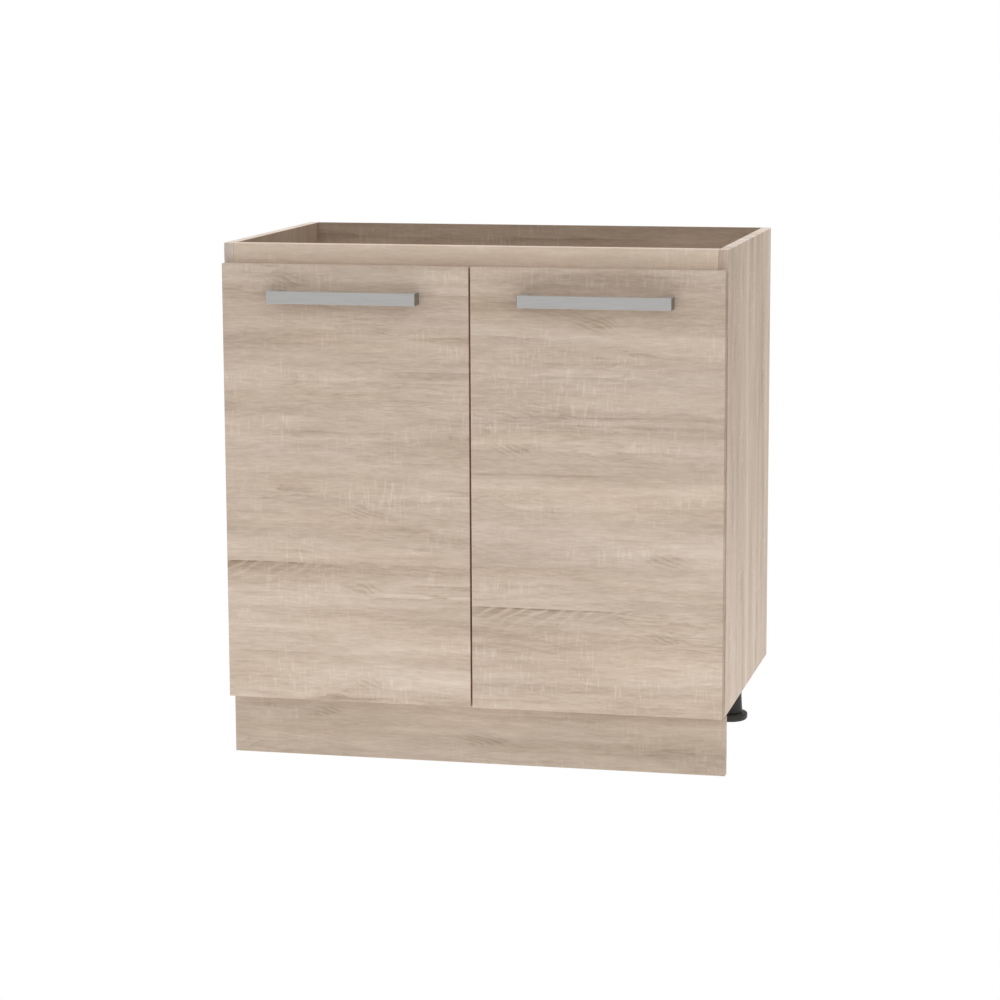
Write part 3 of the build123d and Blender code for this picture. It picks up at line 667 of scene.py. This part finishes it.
def screw(low, high, way, head, shank, pitch, point):
    """Domed head with a cross recess, and a threaded shank that ends in a point.

    Over the head the place grows with the fourth power of the radius. Then the outline goes down the rim,
    in under the head, along the shank and to the point.
    """
    start, length, rim = axis_of(low, high, way)
    dome = dome_share * head
    share = np.linspace(0, 1, dome_steps)
    top = np.stack([dome * share ** 4, rim * share], axis=1)
    turns = math.ceil((length - head) / pitch)
    rest = outline(
        (dome, rim),
        (head, rim, 2),
        (head, shank, 1),
        (length - point, shank, steps_per_turn * turns),
        (length, tip_share * shank, 3),
        (length, 0.0, 1),
    )
    place, radius, turn = turned(np.concatenate([top, rest[1:]]), screw_sides)
    crown = slice(0, len(top))
    arm = recess_arm_share * rim
    half_slot = recess_slot_share * rim
    recess = recess_depth_share * head
    place[crown] = cross_recess(place[crown], radius[crown], turn, arm, half_slot, recess)
    # The thread lies between the rows of the rim and those of the point
    shaft = slice(len(top) + 3, -4)
    groove = thread_share * shank
    radius[shaft] = threaded(place[shaft], radius[shaft], turn, head, length - point, pitch, groove)
    return on_axis(place, radius, turn, start, way)


def shelf_pin(low, high, way):
    """Pin with a rounded free end and a collar that stops at the panel."""
    start, length, collar = axis_of(low, high, way)
    rows = outline(
        (0.0, 0.0),
        (0.0, pin_radius - pin_ease, 1),
        (pin_ease, pin_radius, 2),
        (pin_reach - pin_collar, pin_radius, 1),
        (pin_reach - pin_collar, collar - pin_ease, 1),
        (pin_reach - pin_collar + pin_ease, collar, 2),
        (pin_reach, collar, 1),
        (pin_reach, pin_radius, 1),
        (length - pin_ease, pin_radius, 1),
        (length, pin_radius - pin_ease, 1),
        (length, 0.0, 1),
    )
    return on_axis(*turned(rows, small_sides), start, way)


def door_bumper(low, high, way):
    """Soft dome: the radius is the square root of one less the cube of the height's share."""
    start, height, radius = axis_of(low, high, way)
    share = np.sin(np.linspace(0, np.pi / 2, dome_steps))
    dome = np.stack([height * share, radius * np.sqrt(1 - share ** 3)], axis=1)
    return on_axis(*turned(np.concatenate([[(0.0, 0.0)], dome]), small_sides), start, way)


def fluted_dowel(low, high, way):
    """Rod with chamfered ends, its radius less a narrow wave of the turn."""
    start, length, radius = axis_of(low, high, way)
    rows = outline(
        (0.0, 0.0),
        (0.0, radius - dowel_chamfer, 1),
        (dowel_chamfer, radius, 1),
        (length - dowel_chamfer, radius, 4),
        (length, radius - dowel_chamfer, 1),
        (length, 0.0, 1),
    )
    place, around, turn = turned(rows, sides_per_flute * dowel_flutes)
    # The flutes run between the chamfers
    around[2:-2] -= flute_depth * (0.5 + 0.5 * np.cos(dowel_flutes * turn)) ** 3
    return on_axis(place, around, turn, start, way)


def cam_bolt(low, high, way):
    """Rounded head, thin neck, plain shank, and a threaded end in the side panel."""
    start, length, shank = axis_of(low, high, way)
    shank_end = length - bolt_thread
    rows = outline(
        (0.0, 0.0),
        (0.0, bolt_neck_radius, 1),
        (bolt_head / 4, bolt_head_radius, 2),
        (bolt_head * 3 / 4, bolt_head_radius, 1),
        (bolt_head, bolt_neck_radius, 2),
        (bolt_head + bolt_neck, bolt_neck_radius, 1),
        (bolt_head + bolt_neck, shank, 1),
        (shank_end, shank, 1),
        (shank_end, bolt_thread_radius, 1),
        (length, bolt_thread_radius, bolt_thread_steps),
        (length, 0.0, 1),
    )
    place, radius, turn = turned(rows, small_sides)
    end = slice(-bolt_thread_steps - 1, -1)
    depth = thread_share * bolt_thread_radius
    radius[end] = threaded(place[end], radius[end], turn, shank_end, length, bolt_pitch, depth)
    return on_axis(place, radius, turn, start, way)


def levelling_foot(low, high, way):
    """Broad rounded foot, its two roundings quarter circles, with a coarse thread up the spindle."""
    start, length, rim = axis_of(low, high, way)
    bend = np.linspace(0, np.pi / 2, bend_steps)
    under = np.stack([1 - np.cos(bend), np.sin(bend)], axis=1) * foot_under_rounding
    under += (0, rim - foot_under_rounding)
    over = np.stack([np.sin(bend), np.cos(bend)], axis=1) * foot_top_rounding
    over += (foot_rise - foot_top_rounding, rim - foot_top_rounding)
    thread_end = length - spindle_chamfer
    spindle = outline(
        (foot_rise, spindle_radius),
        (thread_end, spindle_radius, spindle_steps),
        (length, spindle_radius - spindle_chamfer, 1),
        (length, 0.0, 1),
    )
    place, radius, turn = turned(np.concatenate([[(0.0, 0.0)], under, over, spindle]), foot_sides)
    stem = slice(-len(spindle), -2)
    radius[stem] = threaded(
        place[stem], radius[stem], turn, foot_rise, thread_end, spindle_pitch, spindle_groove
    )
    return on_axis(place, radius, turn, start, way)


def fitting(name, node, grids):
    """One piece of closed grids in the place of a node: it rides on the node's body and takes its finish.

    Quads join each row to the next, and triangles join the first and last rows to the poles.
    """
    points = []
    faces = []
    count = 0
    for grid in grids:
        rows, sides = grid.shape[0] - 2, grid.shape[1]
        index = count + 1 + np.arange(rows * sides).reshape(rows, sides)
        beside = np.roll(index, -1, axis=1)
        top = np.full(sides, count)
        tip = np.full(sides, count + 1 + rows * sides)
        faces += np.stack([index[:-1], beside[:-1], beside[1:], index[1:]], axis=2).reshape(-1, 4).tolist()
        faces += np.stack([top, beside[0], index[0]], axis=1).tolist()
        faces += np.stack([index[-1], beside[-1], tip], axis=1).tolist()
        points.append(np.concatenate([grid[:1, 0], grid[1:-1].reshape(-1, 3), grid[-1:, 0]]))
        count += len(points[-1])
    mesh = bpy.data.meshes.new(name)
    mesh.from_pydata(np.concatenate(points), [], faces)
    mesh.shade_smooth()
    mesh.set_sharp_from_angle(angle=math.radians(sharp_angle))
    slot = frame["nodes"][node].material_slots[0].material.name
    mesh.materials.append(fitting_finishes[slot])
    piece = bpy.data.objects.new(name, mesh)
    bpy.context.scene.collection.objects.link(piece)
    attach(piece, node_body[node])
    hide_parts(node)


# Ways that fittings point
forward = np.array([0.0, -1.0, 0.0])
backward = np.array([0.0, 1.0, 0.0])
upward = np.array([0.0, 0.0, 1.0])


def fit_all(name, node, shape, way=None, **sizes):
    """A shape on every solid of a node, pointing the given way, or else away from the cabinet's middle."""
    grids = []
    for low, high in solid_boxes(node):
        outward = np.array([np.sign(low[0] + high[0]), 0.0, 0.0])
        grids.append(shape(low, high, outward if way is None else way, **sizes))
    fitting(name, node, grids)


fit_all("leg_screws_threaded", "leg_screws", screw, upward, **wood_screw)
for place in ("plinth_clip", "worktop_bracket", "left_hinge_cup", "right_hinge_cup"):
    fit_all(f"{place}_screws_threaded", f"{place}_screws", screw, forward, **wood_screw)
fit_all("hinge_plate_screws_threaded", "hinge_plate_screws", screw, **system_screw)
fit_all("hinge_arm_screws_threaded", "hinge_arm_screws", screw, **arm_screw)
for side in ("left", "right"):
    fit_all(f"{side}_handle_screws_threaded", f"{side}_handle_screws", screw, forward, **handle_screw)
    fit_all(f"{side}_door_bumpers_domed", f"{side}_door_bumpers", door_bumper, backward)
    for end in ("front", "rear"):
        fit_all(f"{end}_{side}_foot_threaded", f"{end}_{side}_foot", levelling_foot, upward)
fit_all("shelf_pins_rounded", "shelf_pins", shelf_pin)
fit_all("dowels_fluted", "dowels", fluted_dowel)
fit_all("cam_bolts_threaded", "cam_bolts", cam_bolt)

# Each node keeps its shape and gets its finish
for name, piece in frame["nodes"].items():
    slot = piece.material_slots[0]
    slot.material = board_finishes.get(name) or fitting_finishes[slot.material.name]


# Stage, light and camera

def studio_floor():
    """Pale round floor that glows: one flat face whose corners lie on a circle.

    The camera looks through it to the white room, so that feet screwed out below the floor still show.
    """
    turn = np.linspace(0, 2 * np.pi, floor_corners, endpoint=False)
    rim = floor_radius * np.stack([np.cos(turn), np.sin(turn), 0 * turn], axis=1)
    mesh = bpy.data.meshes.new("studio_floor")
    mesh.from_pydata(rim, [], [range(len(rim))])
    floor = bpy.data.objects.new("studio_floor", mesh)
    floor.visible_camera = False
    bpy.context.scene.collection.objects.link(floor)
    finish = Finish("floor_paint", Roughness=0.9, Specular_IOR_Level=0.0, Emission_Strength=floor_glow)
    finish.set("Emission Color", (1, 1, 1, 1))
    dust = finish.noise(finish.object_place(), (6, 6, 6), detail=3)
    finish.set("Base Color", finish.ramp(finish.math("ADD", dust, 0.5), [
        (0.2, shade(194, 194, 194)),
        (0.8, shade(200, 200, 200)),
    ]))
    mesh.materials.append(finish.material)


def studio_light():
    """Dim room that looks white to the camera, and a broad soft light overhead."""
    world = bpy.data.worlds.new("studio")
    world.use_nodes = True
    bench = NodeBench(world.node_tree)
    sky = world.node_tree.nodes["Background"]
    seen = bench.add("ShaderNodeLightPath").outputs["Is Camera Ray"]
    bench.feed(sky.inputs["Color"], (1, 1, 1, 1))
    bench.feed(sky.inputs["Strength"], bench.math("MULTIPLY_ADD", seen, 1 - sky_strength, sky_strength))
    bpy.context.scene.world = world
    lamp = bpy.data.lights.new("overhead", "SUN")
    lamp.energy = overhead_strength
    lamp.angle = math.radians(overhead_spread)
    overhead = bpy.data.objects.new("overhead", lamp)
    bpy.context.scene.collection.objects.link(overhead)


def photo_camera():
    """Camera on the line of sight through a point on the carcass front."""
    azimuth = math.radians(view_azimuth)
    elevation = math.radians(view_elevation)
    carcass_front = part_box("front_rail")[0].y
    back = Vector((
        math.sin(azimuth) * math.cos(elevation),
        -math.cos(azimuth) * math.cos(elevation),
        math.sin(elevation),
    ))
    lens = bpy.data.cameras.new("photo_view")
    lens.lens = view_lens
    lens.sensor_width = view_sensor
    camera = bpy.data.objects.new("photo_view", lens)
    camera.location = Vector((view_aside, carcass_front, view_height)) + view_distance * back
    camera.rotation_mode = "QUATERNION"
    roll = Quaternion((0, 0, 1), math.radians(view_roll))
    camera.rotation_quaternion = (-back).to_track_quat("-Z", "Y") @ roll
    bpy.context.scene.collection.objects.link(camera)
    bpy.context.scene.camera = camera


studio_floor()
studio_light()
photo_camera()
bpy.context.scene.view_settings.view_transform = "Standard"
